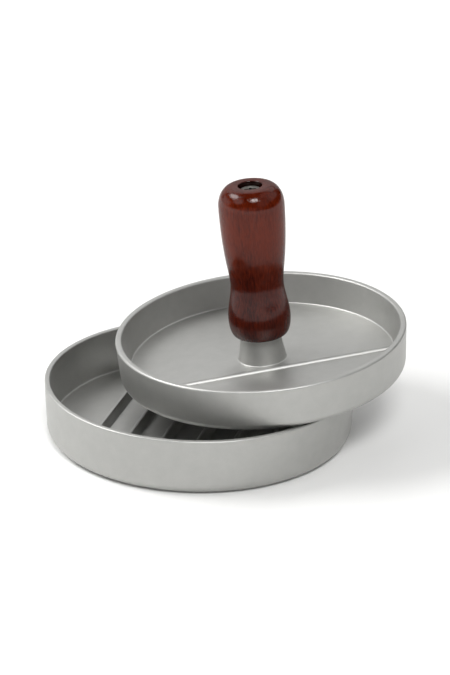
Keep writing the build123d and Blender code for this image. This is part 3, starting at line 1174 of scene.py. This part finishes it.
# Softboxes: name, shape, azimuth (0 behind the press, 90 on the right), elevation, width, height, power.
# Angles in degrees, sizes in metres, power in watts.
SOFTBOXES = (
    ("backdrop_box", "RECTANGLE", 352, 18, 2.4, 0.7, 4.4),
    ("high_back_box", "RECTANGLE", 0, 48, 2.2, 0.8, 7.4),
    ("left_box", "RECTANGLE", 285, 12, 1.2, 0.5, 2.4),
    ("right_box", "RECTANGLE", 80, 35, 1.2, 0.7, 2.2),
    ("high_right_box", "ELLIPSE", 90, 60, 1.2, 0.8, 1.4),
    ("front_left_box", "ELLIPSE", 238, 36, 0.95, 0.75, 3.0),
    ("front_right_box", "ELLIPSE", 135, 30, 1.3, 0.9, 1.2),
    ("low_front_box", "RECTANGLE", 180, 8, 2.6, 0.3, 0.8),
    ("left_window", "ELLIPSE", 279, 47, 0.95, 0.62, 18.0),
    ("front_window", "RECTANGLE", 168, 50, 0.52, 0.44, 15.5),
)
SOFTBOX_DISTANCE = 1.5
SOFTBOX_AIM = Vector((0.01, 0.0, 0.04))


def make_light(settings):
    """Softboxes all round, aimed at the press, and a white background that lights nothing."""
    stage = settings.stage
    world = bpy.data.worlds.new("studio")
    bpy.context.scene.world = world
    world.use_nodes = True
    background = world.node_tree.nodes["Background"]
    background.inputs["Color"].default_value = (1.0, 1.0, 1.0, 1.0)
    background.inputs["Strength"].default_value = stage.sky
    world.cycles_visibility.diffuse = False
    world.cycles_visibility.glossy = False
    for name, shape, azimuth, elevation, width, height, watts in SOFTBOXES:
        way = Matrix.Rotation(-radians(azimuth), 3, "Z") @ Matrix.Rotation(radians(elevation), 3, "X")
        way = way @ Vector((0, 1, 0))
        lamp = bpy.data.lights.new(name, "AREA")
        lamp.shape = shape
        lamp.size = width
        lamp.size_y = height
        lamp.energy = watts * stage.light
        held = bpy.data.objects.new(name, lamp)
        held.location = SOFTBOX_AIM + way * SOFTBOX_DISTANCE
        held.rotation_euler = (-way).to_track_quat("-Z", "Y").to_euler()
        held.visible_camera = False
        bpy.context.scene.collection.objects.link(held)


def make_camera(settings):
    """The camera at the photograph's viewing angle."""
    stage = settings.stage
    dip = stage.camera_dip
    ahead = Vector((0, cos(dip), -sin(dip)))
    right = Vector((1, 0, 0))
    up = right.cross(ahead)
    x_way = right * cos(stage.camera_roll) + up * sin(stage.camera_roll)
    y_way = up * cos(stage.camera_roll) - right * sin(stage.camera_roll)
    lens = bpy.data.cameras.new("camera")
    lens.sensor_width = 36.0
    lens.lens = stage.focal
    lens.clip_start = 0.05
    lens.clip_end = 20.0
    camera = bpy.data.objects.new("camera", lens)
    placed = Matrix((x_way, y_way, -ahead)).transposed().to_4x4()
    placed.translation = (stage.camera_x, -stage.camera_back, stage.camera_height)
    camera.matrix_world = placed
    bpy.context.scene.collection.objects.link(camera)
    bpy.context.scene.camera = camera


class BURGERPRESS_OT_base_dish(bpy.types.Operator):
    """Make the base dish with its ridged floor"""

    bl_idname = "burger_press.base_dish"
    bl_label = "Base dish"

    def execute(self, context):
        make_base_dish(context.scene.burger_press)
        return {"FINISHED"}


class BURGERPRESS_OT_press_plate(bpy.types.Operator):
    """Make the press plate with its boss, step and ridged underside"""

    bl_idname = "burger_press.press_plate"
    bl_label = "Press plate"

    def execute(self, context):
        make_press_plate(context.scene.burger_press)
        return {"FINISHED"}


class BURGERPRESS_OT_handle(bpy.types.Operator):
    """Make the turned wooden handle"""

    bl_idname = "burger_press.handle"
    bl_label = "Handle"

    def execute(self, context):
        make_handle(context.scene.burger_press)
        return {"FINISHED"}


class BURGERPRESS_OT_fasteners(bpy.types.Operator):
    """Make the handle screw, and finish the two washers under its head"""

    bl_idname = "burger_press.fasteners"
    bl_label = "Screw and washers"

    def execute(self, context):
        settings = context.scene.burger_press
        make_handle_screw(settings)
        for name in ("lock_washer", "washer"):
            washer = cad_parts[name]
            washer.data.materials.clear()
            washer.data.materials.append(zinc_steel(settings))
        return {"FINISHED"}


class BURGERPRESS_OT_stage(bpy.types.Operator):
    """Set up the floor, the soft studio light and the camera"""

    bl_idname = "burger_press.stage"
    bl_label = "Stage"

    def execute(self, context):
        settings = context.scene.burger_press
        make_floor(settings)
        make_light(settings)
        make_camera(settings)
        context.scene.view_settings.view_transform = "Standard"
        return {"FINISHED"}


STEPS = (
    BURGERPRESS_OT_stage,
    BURGERPRESS_OT_base_dish,
    BURGERPRESS_OT_press_plate,
    BURGERPRESS_OT_handle,
    BURGERPRESS_OT_fasteners,
)


class VIEW3D_PT_burger_press(bpy.types.Panel):
    """Buttons and sizes of the burger press"""

    bl_label = "Burger Press"
    bl_space_type = "VIEW_3D"
    bl_region_type = "UI"
    bl_category = "Burger Press"

    def draw(self, context):
        layout = self.layout
        for step in STEPS:
            layout.operator(step.bl_idname)
        for part in BurgerPressSettings.__annotations__:
            group = getattr(context.scene.burger_press, part)
            box = layout.box()
            for name in group.__annotations__:
                box.prop(group, name)


CLASSES = (
    RidgeSizes,
    BaseSizes,
    PressSizes,
    HandleSizes,
    ScrewSizes,
    Finishes,
    StageSettings,
    BurgerPressSettings,
    *STEPS,
    VIEW3D_PT_burger_press,
)


def register():
    for item in CLASSES:
        bpy.utils.register_class(item)
    bpy.types.Scene.burger_press = PointerProperty(type=BurgerPressSettings)


def unregister():
    del bpy.types.Scene.burger_press
    for item in reversed(CLASSES):
        bpy.utils.unregister_class(item)


def main():
    """Makes the stage and the burger press."""
    register()
    bpy.ops.burger_press.stage()
    bpy.ops.burger_press.base_dish()
    bpy.ops.burger_press.press_plate()
    bpy.ops.burger_press.handle()
    bpy.ops.burger_press.fasteners()


if __name__ == "__main__":
    main()
